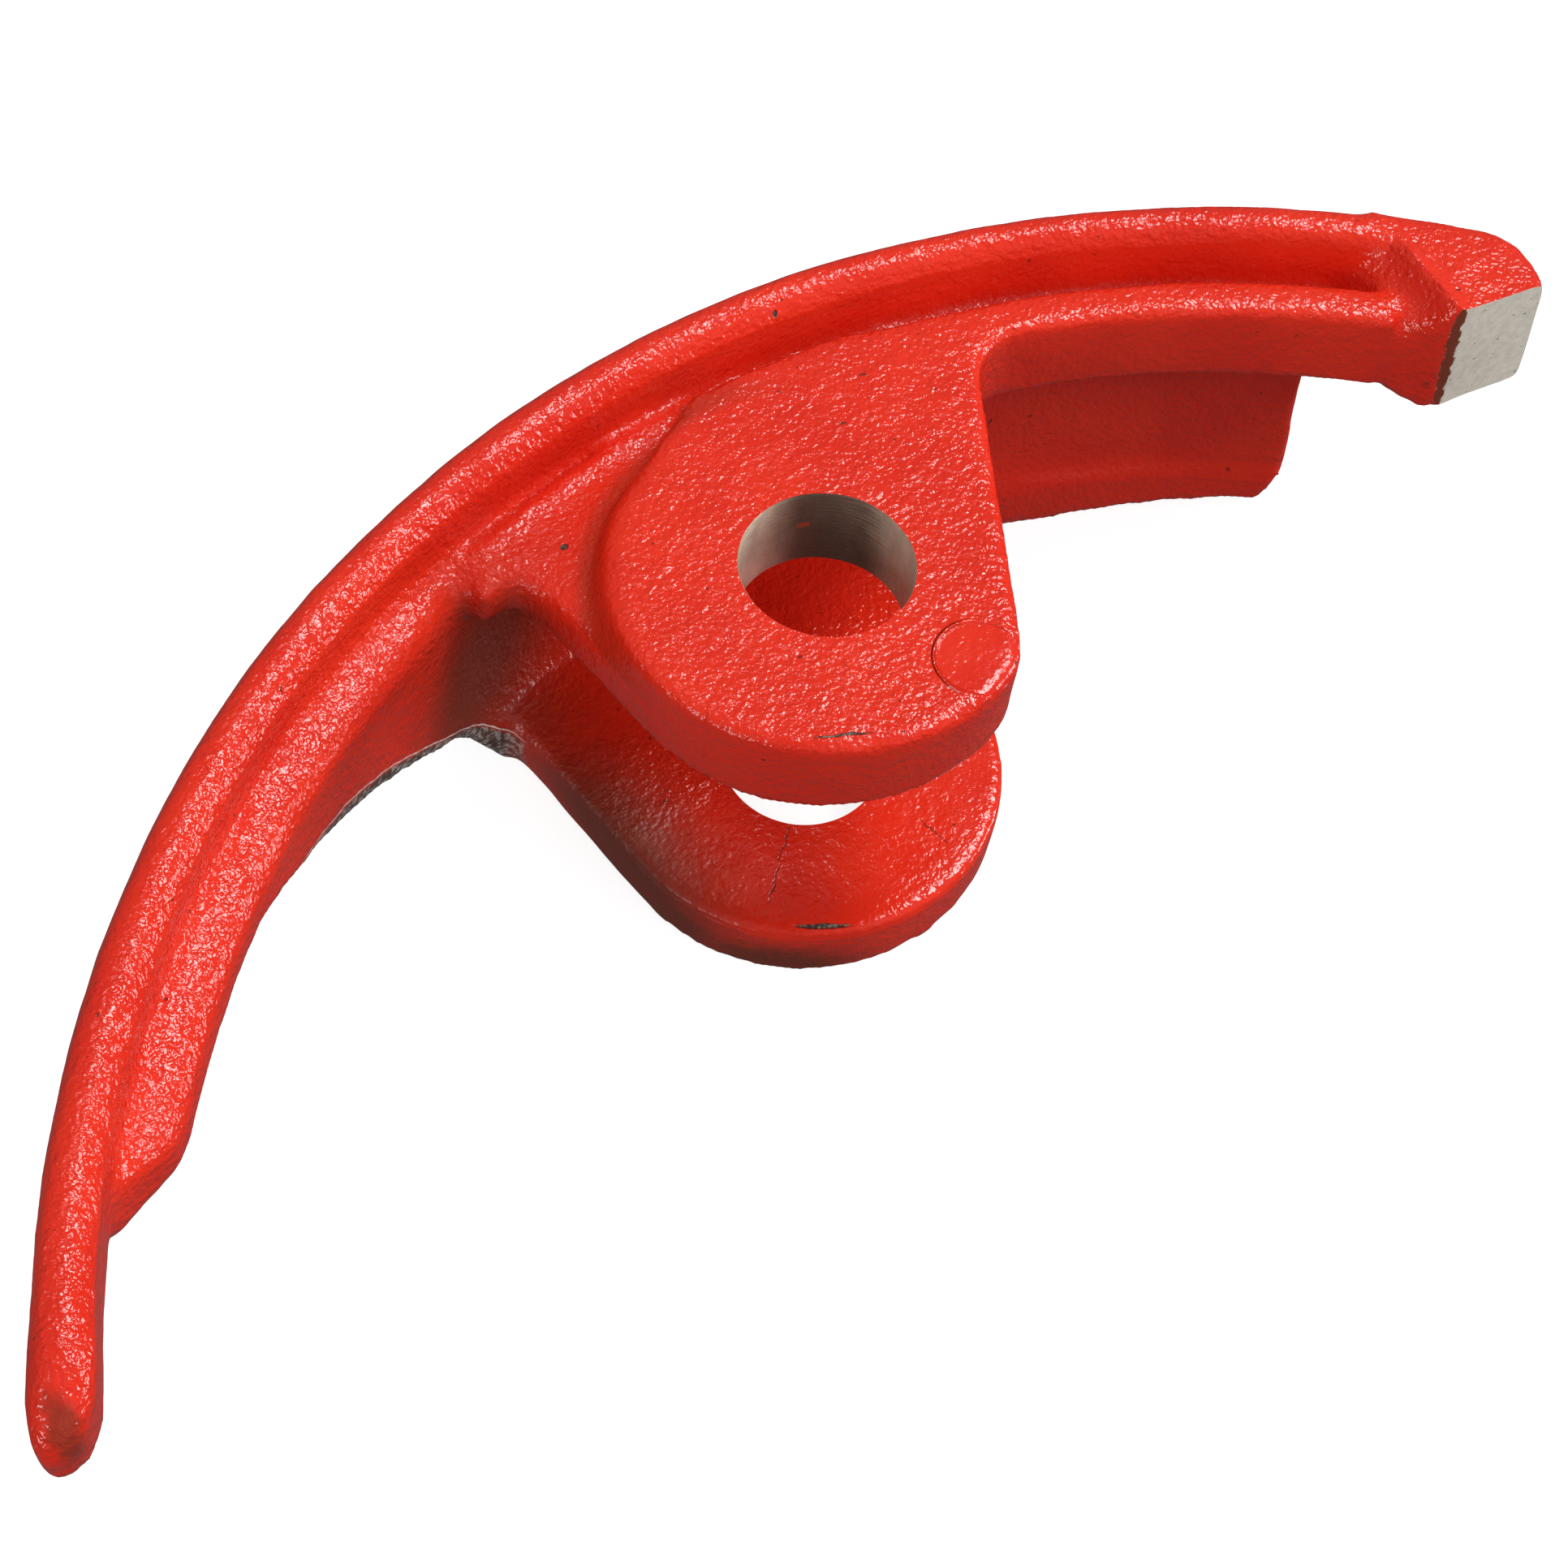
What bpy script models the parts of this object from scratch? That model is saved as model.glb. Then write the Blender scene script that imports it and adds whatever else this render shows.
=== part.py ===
"""Clevis arm of a pipe cutter: one iron casting, bored and faced, built in its own frame.

+Z runs along the pivot bore, +X along the curved rail towards the nose, +Y outward from the
pivot to the rail. The origin is the bottom centre of the casting's bounding box.
Lengths below are in millimetres in the pivot frame (bore axis at X = Y = 0, lowest face at
Z = 0); the finished casting is scaled to metres and moved to its origin at the end.
"""
import math

import bmesh
import bpy
from mathutils import Matrix, Vector

# Pivot end
BORE_RADIUS = 6.35
LOWER_EAR_RADIUS = 16.3
UPPER_EAR_RADIUS = 15.8
UPPER_EAR_CENTRE = (-0.4, 0.0)
LEFT_FLANK_X = -16.4
RIGHT_FLANK_X = 16.3

# Heights
LOWER_EAR_TOP = 5.7
UPPER_EAR_BOTTOM = 23.6
HUB_TOP = 31.0
RAIL_TOP = 33.0
GUSSET_TOP = 28.0
CHANNEL_FLOOR = 27.0
RAIL_BOTTOM = 24.5
WEB_BOTTOM = 23.0
NOSE_BOTTOM = 22.0

# Arc that the rail, arm and walls share: its centre, then radii and angles from +X
ARC_CENTRE = (-1.07, -59.2)
RAIL_OUTER = 83.7
WALL_OUTER = 83.65
RAIL_INNER = 80.0
RAIL_FOOT = 80.7
ARM_INNER = 73.3
RIDGE_OUTER = 77.0
HUB_OUTER = 77.5
GUSSET_OUTER = 79.3
WALL_INNER = 79.0
WEB_INNER = 76.8
NOSE_ANGLE = 44.0
ARM_HUB_ANGLE = 76.0
CHANNEL_END_ANGLE = 104.7
TAIL_TIP_ANGLE = 153.85
TAIL_TAPER_ANGLE = 149.0
WALL_RIGHT_ANGLE = 48.0
WEB_START_ANGLE = 102.5
WEB_FULL_ANGLE = 110.0
WEB_CHAMFER_ANGLE = 139.0
WEB_END_ANGLE = 143.0
SWEEP_STEP = 1.5

# Nose
FACET_NEAR = (55.0, -11.2)
FACET_FAR = (62.3, -12.9)
NOSE_DRAFT = (1.3, -0.55)
NOSE_EDGE_ROUND = 0.8
WALL_END_DRAFT = 2.7

# Lower edge of the tail wall, seen from the side: from the ear's foot up to the rail
TAIL_EDGE = [(-17.3, 0.3), (-19.2, 3.7), (-22.6, 8.8), (-27.0, 13.2), (-33.0, 16.7), (-46.0, WEB_BOTTOM)]

PAINT_RED = (0.80, 0.035, 0.015)
METRE = 0.001
WELD_DISTANCE = 0.0001


def clear_scene():
    for item in list(bpy.data.objects):
        bpy.data.objects.remove(item)


def arc_point(radius, degrees):
    turn = math.radians(degrees)
    return (ARC_CENTRE[0] + radius * math.cos(turn), ARC_CENTRE[1] + radius * math.sin(turn))


def grid_angles(start, end):
    """From start to end through whole multiples of SWEEP_STEP, so that neighbours line up."""
    low, high = min(start, end), max(start, end)
    inside = range(math.ceil(low / SWEEP_STEP + 0.01), math.floor(high / SWEEP_STEP - 0.01) + 1)
    angles = [low] + [i * SWEEP_STEP for i in inside] + [high]
    return angles if start < end else angles[::-1]


def arc_points(radius, start, end):
    """Plan points on the shared arc, from one angle to another."""
    return [arc_point(radius, degrees) for degrees in grid_angles(start, end)]


def circle_points(centre, radius, start, end, step=7.5):
    count = max(1, round(abs(end - start) / step))
    points = []
    for i in range(count + 1):
        turn = math.radians(start + (end - start) * i / count)
        points.append((centre[0] + radius * math.cos(turn), centre[1] + radius * math.sin(turn)))
    return points


def new_object(name, build):
    """An object whose mesh is filled in by build(bm), with its faces turned outward."""
    mesh = bpy.data.meshes.new(name)
    bm = bmesh.new()
    build(bm)
    bmesh.ops.recalc_face_normals(bm, faces=bm.faces)
    bm.to_mesh(mesh)
    bm.free()
    item = bpy.data.objects.new(name, mesh)
    bpy.context.scene.collection.objects.link(item)
    return item


def prism(name, outline, bottom, top):
    """A plan outline raised from one height to another."""
    def build(bm):
        base = bm.faces.new([bm.verts.new((x, y, bottom)) for x, y in outline])
        lifted = bmesh.ops.extrude_face_region(bm, geom=[base])["geom"]
        upper = [part for part in lifted if isinstance(part, bmesh.types.BMVert)]
        bmesh.ops.translate(bm, verts=upper, vec=(0.0, 0.0, top - bottom))
    return new_object(name, build)


def side_prism(name, outline, origin, direction, length):
    """An outline of (along, height) points in an upright plane, pushed along direction.

    The plane stands at origin and is square to direction; along is measured to its right.
    """
    push = Vector((direction[0], direction[1], 0.0)).normalized()
    right = Vector((push.y, -push.x, 0.0))
    start = Vector((origin[0], origin[1], 0.0))

    def build(bm):
        base = bm.faces.new([bm.verts.new(start + right * a + Vector((0.0, 0.0, z))) for a, z in outline])
        lifted = bmesh.ops.extrude_face_region(bm, geom=[base])["geom"]
        far = [part for part in lifted if isinstance(part, bmesh.types.BMVert)]
        bmesh.ops.translate(bm, verts=far, vec=push * length)
    return new_object(name, build)


def sweep(name, section_at, start, end):
    """A closed section of (radius, height) points carried along the shared arc.

    section_at(degrees) gives the section there; every section has as many points.
    """
    def build(bm):
        rings = []
        for degrees in grid_angles(start, end):
            ring = [bm.verts.new((*arc_point(r, degrees), z)) for r, z in section_at(degrees)]
            rings.append(ring)
        for ring, following in zip(rings, rings[1:]):
            for j in range(len(ring)):
                k = (j + 1) % len(ring)
                bm.faces.new((ring[j], ring[k], following[k], following[j]))
        bm.faces.new(rings[0])
        bm.faces.new(list(reversed(rings[-1])))
    return new_object(name, build)


def combine(target, tool, operation):
    """Boolean the tool into the target, keep the result as plain mesh, remove the tool."""
    modifier = target.modifiers.new(operation.lower(), "BOOLEAN")
    modifier.operation = operation
    modifier.solver = "EXACT"
    modifier.object = tool
    graph = bpy.context.evaluated_depsgraph_get()
    result = bpy.data.meshes.new_from_object(target.evaluated_get(graph))
    target.modifiers.remove(modifier)
    target.data = result
    bpy.data.objects.remove(tool)
    weld(result)


def weld(mesh):
    """Close the hairline splits that a Boolean leaves where two faces met edge to edge."""
    bm = bmesh.new()
    bm.from_mesh(mesh)
    bmesh.ops.remove_doubles(bm, verts=bm.verts, dist=WELD_DISTANCE)
    bmesh.ops.dissolve_degenerate(bm, edges=bm.edges, dist=WELD_DISTANCE)
    bm.to_mesh(mesh)
    bm.free()


def rail_section(degrees):
    """Upright bar with a rounded top, drawn in to a blunt tip at the tail."""
    section = [(RAIL_FOOT, RAIL_BOTTOM), (RAIL_OUTER - 0.3, RAIL_BOTTOM)]
    section += [(RAIL_OUTER, RAIL_BOTTOM + 0.5), (RAIL_OUTER, RAIL_TOP - 1.5)]
    section += [(RAIL_OUTER - 0.4, RAIL_TOP - 0.5), (RAIL_OUTER - 1.2, RAIL_TOP)]
    section += [(RAIL_INNER + 1.0, RAIL_TOP), (RAIL_INNER + 0.3, RAIL_TOP - 0.5)]
    section += [(RAIL_INNER, RAIL_TOP - 1.4)]
    if degrees <= TAIL_TAPER_ANGLE:
        return section
    share = (degrees - TAIL_TAPER_ANGLE) / (TAIL_TIP_ANGLE - TAIL_TAPER_ANGLE)
    size = max(0.32, max(0.0, 1.0 - share ** 2.4) ** (1.0 / 2.4))
    tip_radius = 0.5 * (RAIL_INNER + RAIL_OUTER) + 1.4
    tip_height = 0.5 * (RAIL_BOTTOM + RAIL_TOP) - 0.6
    return [(tip_radius + (r - tip_radius) * size, tip_height + (z - tip_height) * size)
            for r, z in section]


def arm_section(degrees):
    """Ridge along the inner edge and the channel floor behind it; past the hub, floor alone."""
    free = degrees < ARM_HUB_ANGLE
    inner = ARM_INNER if free else RIDGE_OUTER - 1.5
    top = HUB_TOP if free else CHANNEL_FLOOR + 0.8
    return [(inner, UPPER_EAR_BOTTOM), (RAIL_INNER + 1.0, UPPER_EAR_BOTTOM),
            (RAIL_INNER + 1.0, CHANNEL_FLOOR), (RIDGE_OUTER + 0.4, CHANNEL_FLOOR),
            (RIDGE_OUTER, top - 0.6), (RIDGE_OUTER - 0.5, top), (inner + 0.5, top), (inner, top - 0.5)]


def wall_section(degrees):
    """Back wall with a thicker lip along its lower inner edge, both fading out to the right."""
    fading = max(0.0, 64.0 - degrees)
    lip = WALL_INNER - 1.4 + 0.06 * fading
    foot = 0.13 * fading
    lip_top = LOWER_EAR_TOP + 0.3
    return [(lip, foot), (WALL_OUTER, foot), (WALL_OUTER, CHANNEL_FLOOR - 1.0),
            (WALL_INNER, CHANNEL_FLOOR - 1.0), (WALL_INNER, lip_top), (lip, lip_top - 0.5)]


def web_section(degrees):
    """Tail wall with a sloping shoulder inside the rail, ending in a slanted face."""
    past = max(0.0, degrees - WEB_CHAMFER_ANGLE) / (WEB_END_ANGLE - WEB_CHAMFER_ANGLE)
    before = max(0.0, WEB_FULL_ANGLE - degrees) / (WEB_FULL_ANGLE - WEB_START_ANGLE)
    inner = WEB_INNER + past * (RAIL_INNER + 0.6 - WEB_INNER)
    inner += before * before * (WALL_INNER - WEB_INNER)
    shoulder = GUSSET_TOP - 1.2 * (1.0 - past)
    return [(inner, 0.0), (WALL_OUTER, 0.0), (WALL_OUTER, RAIL_BOTTOM + 1.5),
            (RAIL_INNER + 1.0, GUSSET_TOP + 0.2), (inner + 0.9 * (1.0 - past), shoulder + 0.6),
            (inner, shoulder - 0.6)]


def hub_outline():
    """Upper ear, its straight right flank, the fillet into the arm, and the hub behind."""
    outline = circle_points(UPPER_EAR_CENTRE, UPPER_EAR_RADIUS, 105.0, 290.0)
    outline += [(6.3, -14.0), (7.4, -12.6)]
    outline += circle_points((24.9, 4.1), 4.9, 145.0, 68.0, 13.0)
    outline += arc_points(ARM_INNER + 0.05, 66.0, 62.0)
    outline += arc_points(RIDGE_OUTER - 0.4, 62.0, 72.0)
    outline += arc_points(HUB_OUTER, 78.0, 88.0)
    return outline


def gusset_outline():
    """Lower shelf left of the hub; its corner runs out to the rail."""
    outline = [(-5.0, -6.0), (6.0, 4.0)]
    outline += arc_points(GUSSET_OUTER, 84.0, 103.6)
    outline += [(-18.4, 15.6), (-17.2, 13.4), (-16.6, 11.0), (LEFT_FLANK_X, 8.0)]
    outline += [(LEFT_FLANK_X + 0.15, -1.0)]
    return outline


def lower_ear_outline():
    """Round ear whose flanks run back into the wall, with a fillet at each corner."""
    outline = circle_points((0.0, 0.0), LOWER_EAR_RADIUS, 180.0, 360.0)
    outline += circle_points((RIGHT_FLANK_X + 10.0, 4.1), 10.0, 180.0, 72.0, 12.0)
    outline += arc_points(RAIL_INNER + 1.0, 66.0, 103.5)
    outline += circle_points((LEFT_FLANK_X - 3.0, 17.2), 3.0, 65.0, 0.0, 18.0)
    return outline


def nose_outline():
    """End of the arm: full width of arm and rail, a rounded outer corner and the flat facet."""
    outline = [FACET_NEAR, FACET_FAR, (63.1, -12.1), (63.8, -10.7), (64.2, -8.8), (64.0, -7.1)]
    outline += arc_points(WALL_OUTER, 39.7, 48.4)
    outline += arc_points(ARM_INNER + 0.1, 48.4, 42.5)
    outline += [(53.6, -10.9)]
    return outline


def reshape(mesh, change):
    """Apply change(bm) to a mesh, then triangulate it, since its walls may no longer be flat."""
    bm = bmesh.new()
    bm.from_mesh(mesh)
    change(bm)
    bmesh.ops.triangulate(bm, faces=bm.faces)
    bm.to_mesh(mesh)
    bm.free()


def round_and_lean_nose(bm):
    """Round the nose's outer top edge and stand its foot further out than its top."""
    rim = [edge for edge in bm.edges
           if all(v.co.z > RAIL_TOP - 0.1 and v.co.y > -12.3 and v.co.x > 57.0 for v in edge.verts)]
    bmesh.ops.bevel(bm, geom=rim, offset=NOSE_EDGE_ROUND, segments=2, profile=0.5, affect="EDGES")
    for vert in bm.verts:
        if vert.co.z < NOSE_BOTTOM + 0.1:
            share = min(1.0, max(0.0, (-4.0 - vert.co.y) / 6.0))
            vert.co.x += share * NOSE_DRAFT[0]
            vert.co.y += share * NOSE_DRAFT[1]


def lean_wall_end(bm):
    """Give the back wall's free end its draft, most of it where the lip begins."""
    turn = math.radians(WALL_RIGHT_ANGLE)
    end_x = arc_point(WALL_INNER - 1.0, WALL_RIGHT_ANGLE)[0]
    for vert in bm.verts:
        if vert.co.x > end_x:
            amount = WALL_END_DRAFT * min(1.0, (CHANNEL_FLOOR - vert.co.z) / CHANNEL_FLOOR)
            amount *= min(1.0, 0.15 * vert.co.z)
            vert.co.x += amount * math.sin(turn)
            vert.co.y -= amount * math.cos(turn)


def nose_block():
    """Thick nose with a slanted face down to the channel and a ramp under the arm."""
    nose = prism("nose", nose_outline(), NOSE_BOTTOM, RAIL_TOP)
    reshape(nose.data, round_and_lean_nose)
    edge = (-0.2, -1.0)
    below_floor = CHANNEL_FLOOR - 0.5
    above = [(-1.0, RAIL_TOP + 2.0), (-1.0, RAIL_TOP + 0.9), (1.9, HUB_TOP - 0.7),
             (3.2, below_floor), (20.0, below_floor), (20.0, RAIL_TOP + 2.0)]
    combine(nose, side_prism("above", above, (57.8, 7.0), edge, 29.0), "DIFFERENCE")
    inside_arm = UPPER_EAR_BOTTOM + 0.5
    below = [(-3.2, NOSE_BOTTOM - 2.0), (-3.2, NOSE_BOTTOM), (-1.6, NOSE_BOTTOM + 0.5),
             (2.6, inside_arm), (20.0, inside_arm), (20.0, NOSE_BOTTOM - 2.0)]
    combine(nose, side_prism("below", below, (56.8, 9.0), edge, 30.0), "DIFFERENCE")
    return nose


def curved_wall():
    """Back wall, tail web and lower ear, with a lower edge that climbs from the ear to the rail."""
    wall = sweep("wall", wall_section, WALL_RIGHT_ANGLE, WEB_START_ANGLE + SWEEP_STEP)
    reshape(wall.data, lean_wall_end)
    combine(wall, sweep("web", web_section, WEB_START_ANGLE, WEB_END_ANGLE), "UNION")
    combine(wall, prism("lower_ear", lower_ear_outline(), 0.0, LOWER_EAR_TOP), "UNION")
    outline = [(TAIL_EDGE[0][0], -2.0)] + TAIL_EDGE + [(-90.0, WEB_BOTTOM), (-90.0, -2.0)]
    combine(wall, side_prism("below", outline, (0.0, -40.0), (0.0, 1.0), 90.0), "DIFFERENCE")
    return wall


def casting():
    """Join the walls, plates and rail, then bore both ears."""
    body = prism("arm_casting", hub_outline(), UPPER_EAR_BOTTOM, HUB_TOP)
    pieces = [
        prism("gusset", gusset_outline(), UPPER_EAR_BOTTOM, GUSSET_TOP),
        sweep("arm", arm_section, NOSE_ANGLE + 0.3, CHANNEL_END_ANGLE),
        curved_wall(),
        nose_block(),
        sweep("rail", rail_section, NOSE_ANGLE, TAIL_TIP_ANGLE),
    ]
    for piece in pieces:
        combine(body, piece, "UNION")
    bore = prism("bore", circle_points((0.0, 0.0), BORE_RADIUS, 0.0, 352.5), -2.0, HUB_TOP + 2.0)
    combine(body, bore, "DIFFERENCE")
    return body


def to_metres_at_origin(item):
    """Scale to metres and put the bounding box's bottom centre at the origin."""
    xs, ys, zs = zip(*(vert.co for vert in item.data.vertices))
    middle = Vector((0.5 * (min(xs) + max(xs)), 0.5 * (min(ys) + max(ys)), min(zs)))
    item.data.transform(Matrix.Scale(METRE, 4) @ Matrix.Translation(-middle))


def red_paint():
    material = bpy.data.materials.new("red_enamel")
    material.use_nodes = True
    surface = material.node_tree.nodes["Principled BSDF"]
    surface.inputs["Base Color"].default_value = (*PAINT_RED, 1.0)
    surface.inputs["Roughness"].default_value = 0.28
    surface.inputs["Metallic"].default_value = 0.0
    return material


def main():
    clear_scene()
    arm = casting()
    to_metres_at_origin(arm)
    arm.data.materials.clear()
    arm.data.materials.append(red_paint())
    arm.data.shade_smooth()
    arm.data.set_sharp_from_angle(angle=math.radians(30.0))


main()
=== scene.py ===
"""Looks of the pipe cutter's arm: one painted iron casting with a bored pivot and a faced nose.

The skin is grown from the CAD solid: remeshed, filleted like a sand casting, roughened, then bored
and faced again so that the machined surfaces stay crisp. Mesh work is in millimetres in the row
frame; the finished mesh is scaled to metres.
"""
import math

import bmesh
import bpy
import numpy as np
from mathutils import Matrix, Vector, noise


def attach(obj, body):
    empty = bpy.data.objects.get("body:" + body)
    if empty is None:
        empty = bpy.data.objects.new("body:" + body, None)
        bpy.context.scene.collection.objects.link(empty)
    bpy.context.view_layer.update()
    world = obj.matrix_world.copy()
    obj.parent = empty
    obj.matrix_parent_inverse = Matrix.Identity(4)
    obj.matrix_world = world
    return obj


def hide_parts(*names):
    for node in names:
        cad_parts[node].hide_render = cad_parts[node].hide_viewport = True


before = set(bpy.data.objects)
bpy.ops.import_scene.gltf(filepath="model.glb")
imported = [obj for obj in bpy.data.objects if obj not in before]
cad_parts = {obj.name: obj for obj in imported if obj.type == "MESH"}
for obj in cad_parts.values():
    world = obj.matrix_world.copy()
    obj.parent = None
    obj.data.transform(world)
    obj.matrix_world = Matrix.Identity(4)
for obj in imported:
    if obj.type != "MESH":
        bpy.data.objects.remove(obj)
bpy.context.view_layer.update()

MM = 0.001

# Where things are on the casting, in millimetres in the row frame
PIVOT = (5.352, -0.762)
ARC_CENTRE = (4.282, -59.962)
BORE_RADIUS = 6.35
DARK_REFLECTION_ACROSS = (0.78, -0.63, 0.0)
HUB_TOP = 31.0
UPPER_EAR_BOTTOM = 23.6
LOWER_EAR_TOP = 5.7
FACET_POINT = Vector((60.352, -11.962, 33.0))
FACET_NORMAL = Vector((-0.22675, -0.97371, 0.02189)).normalized()
FACET_ALONG = Vector((7.3, -1.7, 0.0)).normalized()
CROWN_RADIUS = 82.3
CROWN_HALF_WIDTH = 1.9
CROWN_FALL = 0.38
TIP = (-69.0, -21.6)
WALL_CORNER = (58.5, 0.6, 6.0)
NOSE_RIDGE_X = 59.7
MARK_CENTRE = (8.8, -13.5)
MARK_RADIUS = 3.2
GUSSET_EDGE_RADIUS = 78.5
FLASH_START = 102.0

# Growing the skin: sizes in millimetres, shares of a full move
VOXEL = 0.425
SMOOTH_RATE = 0.5
FILL_RATE = 0.9
FILL_NORMALS_EVERY = 4
WELD_DISTANCE = 0.0005
PLUG_OVERSIZE = 0.4
PLUG_SEGMENTS = 48
BORE_SEGMENTS = 144
BORE_FLARE = 0.16
SHARP_ANGLE = math.radians(38.0)
TIP_SWELL = 0.45
CORNER_SWELL = 0.5
NOSE_FOOT = (59.0, -10.8)
NOSE_FOOT_DROP = 1.0
NOSE_RIDGE_HEIGHT = 0.65
GUSSET_EDGE_HEIGHT = 0.35
POCKET = (-13.0, 16.0)
NOTCH = (-17.5, 16.0)
STEP_RADIUS = 16.5

# Size and height of each layer of sand-cast unevenness
UNEVENNESS = ((11.0, 0.10), (3.4, 0.045), (1.5, 0.028))

# Colours, as linear red, green and blue
PAINT_DEEP = (0.74, 0.023, 0.009)
PAINT_BRIGHT = (0.82, 0.031, 0.011)
PIT = (0.09, 0.015, 0.008)
# Painted shade, with some brown film, for the fork and recesses
GRIME_AND_PAINTED_SHADE = (0.115, 0.026, 0.012)
# Painted shade along the foot of the hub's step
STEP_PAINTED_SHADE = (0.30, 0.030, 0.012)
CRACK = (0.10, 0.018, 0.010)
CHIP_DARK = (0.035, 0.016, 0.010)
CHIP_LIGHT = (0.22, 0.17, 0.12)
BRASS_DARK = (0.08, 0.035, 0.012)
BRASS_LIGHT = (0.42, 0.27, 0.07)
NOSE_EDGE_BROWN = (0.11, 0.026, 0.010)
TIP_BROWN = (0.20, 0.030, 0.014)
# Strip below the parting line: bare scale with a painted reflection
SCALE_REFLECTION_DARK = (0.10, 0.050, 0.038)
SCALE_REFLECTION_LIGHT = (0.50, 0.45, 0.42)
# Painted highlight on the parting-line flash
FLASH_PAINTED_HIGHLIGHT = (0.85, 0.74, 0.68)
STEEL_DULL = (0.66, 0.50, 0.38)
STEEL_BRIGHT = (0.84, 0.69, 0.56)
# Painted dark reflection across the bore's middle
STEEL_PAINTED_DARK_REFLECTION = (0.085, 0.040, 0.024)
PAINT_FLECK = (0.45, 0.05, 0.02)
FACE_DULL = (0.72, 0.655, 0.555)
FACE_BRIGHT = (0.86, 0.795, 0.69)
FACE_SPECK = (0.14, 0.09, 0.05)
FACE_BORDER = (0.20, 0.035, 0.012)

# Bump distances in metres
PAINT_BUMP = 0.00034
BORE_BUMP = 0.00012
FACE_BUMP = 0.0003

PAINT_IOR = 1.5

# Chips in the paint: centre, radii, turn about Z in degrees, raggedness
CHIPS = (
    ((-3.2, -12.75, 31.0), (1.9, 0.10, 0.5), -31.0, 0.22),
    ((-3.1, -13.7, 5.6), (2.1, 0.20, 0.45), -36.0, 0.14),
    ((57.3, 6.6, 27.0), (0.14, 0.5, 0.6), 30.0, 0.1),
    ((-7.6, 13.3, 28.0), (0.28, 0.24, 0.4), 0.0, 0.1),
    ((52.9, 8.0, 27.3), (0.22, 0.2, 0.4), 0.0, 0.1),
    ((42.5, 12.3, 27.9), (0.2, 0.2, 0.4), 0.0, 0.1),
    ((16.7, 19.4, 32.3), (0.25, 0.2, 0.5), 0.0, 0.1),
    ((-49.6, -1.3, 27.6), (0.2, 0.18, 0.6), 0.0, 0.1),
    ((-53.1, -3.9, 27.8), (0.18, 0.18, 0.6), 0.0, 0.1),
    ((-45.1, 3.1, 28.0), (0.18, 0.18, 0.6), 0.0, 0.1),
)

# Painted shade, with some brown film, in the fork, on the lower ear's left flank, under the gusset
# and at the channel's start: centre, radii, turn, raggedness, softness of the edge
GRIME_AND_SHADE_FILMS = (
    ((-12.5, 14.5, 14.5), (8.5, 7.0, 10.5), 0.0, 0.8, 0.6),
    ((-13.0, 2.0, 4.0), (7.5, 12.0, 6.0), 0.0, 0.8, 0.6),
    ((-11.5, -2.0, 1.6), (4.0, 12.0, 3.2), 0.0, 0.6, 0.5),
    ((-13.6, 16.4, 24.6), (3.0, 2.2, 2.4), 30.0, 0.5, 0.5),
    ((7.3, 17.7, 29.0), (1.8, 0.7, 1.6), 35.0, 0.5, 0.5),
    ((-7.5, -12.5, 1.0), (8.0, 5.0, 2.6), -35.0, 0.8, 0.6),
)

# Hairline cracks in the lower ear's paint: centre, radii, turn, raggedness
CRACKS = (
    ((-0.8, -6.2, 5.7), (1.8, 0.07, 0.4), 35.0, 0.35),
    ((-3.7, -8.5, 5.7), (1.7, 0.08, 0.4), 36.0, 0.35),
    ((9.4, -12.5, 5.7), (0.07, 1.4, 0.4), 6.0, 0.35),
)

# Lights: direction they shine from, distance and size in metres, radiance
LIGHTS = {
    "key": ((0.54, -0.04, 0.84), 0.8, 0.26, 15.5),
    "top": ((0.10, 0.30, 0.95), 0.8, 0.11, 9.0),
    "rim": ((-0.62, 0.38, 0.68), 0.9, 0.07, 12.0),
    "front": ((0.10, -0.72, 0.68), 0.9, 0.6, 2.6),
    "left": ((-0.96, -0.12, 0.24), 0.9, 0.36, 6.5),
    "right": ((0.85, -0.52, 0.12), 0.9, 0.3, 11.0),
}
UNSEEN_IN_GLOSS = "front"
LIGHTS_AIM = Vector((0.0, 0.0, 0.02))

# Surroundings: place on the scale from straight down to straight up, and brightness
SKY = ((0.0, 0.10), (0.45, 0.12), (0.62, 0.17), (1.0, 0.22))

FLOOR_HALF_WIDTH = 2.0
FLOOR_LEVEL = -0.00005
FLOOR_GREY = (0.35, 0.35, 0.35)
FLOOR_ROUGHNESS = 0.9
FLOOR_GLOW = 0.86

CAMERA_PLACE = Vector((-71.545, -76.077, 168.428))
CAMERA_AZIMUTH = math.radians(-45.0)
CAMERA_ELEVATION = math.radians(57.1915)
CAMERA_ROLL = math.radians(7.2027)
CAMERA_SENSOR = 36.0
CAMERA_LENS = 55.9
CAMERA_CLIP = 0.01


# ---------------------------------------------------------------- skin

def merged_copy(source):
    """The CAD node's mesh in millimetres, closed again where the import split it."""
    bm = bmesh.new()
    bm.from_mesh(source.data)
    bmesh.ops.scale(bm, vec=(1.0 / MM,) * 3, verts=bm.verts)
    bmesh.ops.remove_doubles(bm, verts=bm.verts, dist=WELD_DISTANCE)
    return bm


def add_plug(bm, bottom, top):
    """A round plug that fills the bore between two heights."""
    place = Matrix.Translation((PIVOT[0], PIVOT[1], 0.5 * (bottom + top)))
    radius = BORE_RADIUS + PLUG_OVERSIZE
    bmesh.ops.create_cone(bm, cap_ends=True, segments=PLUG_SEGMENTS, radius1=radius,
                          radius2=radius, depth=top - bottom, matrix=place)


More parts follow.
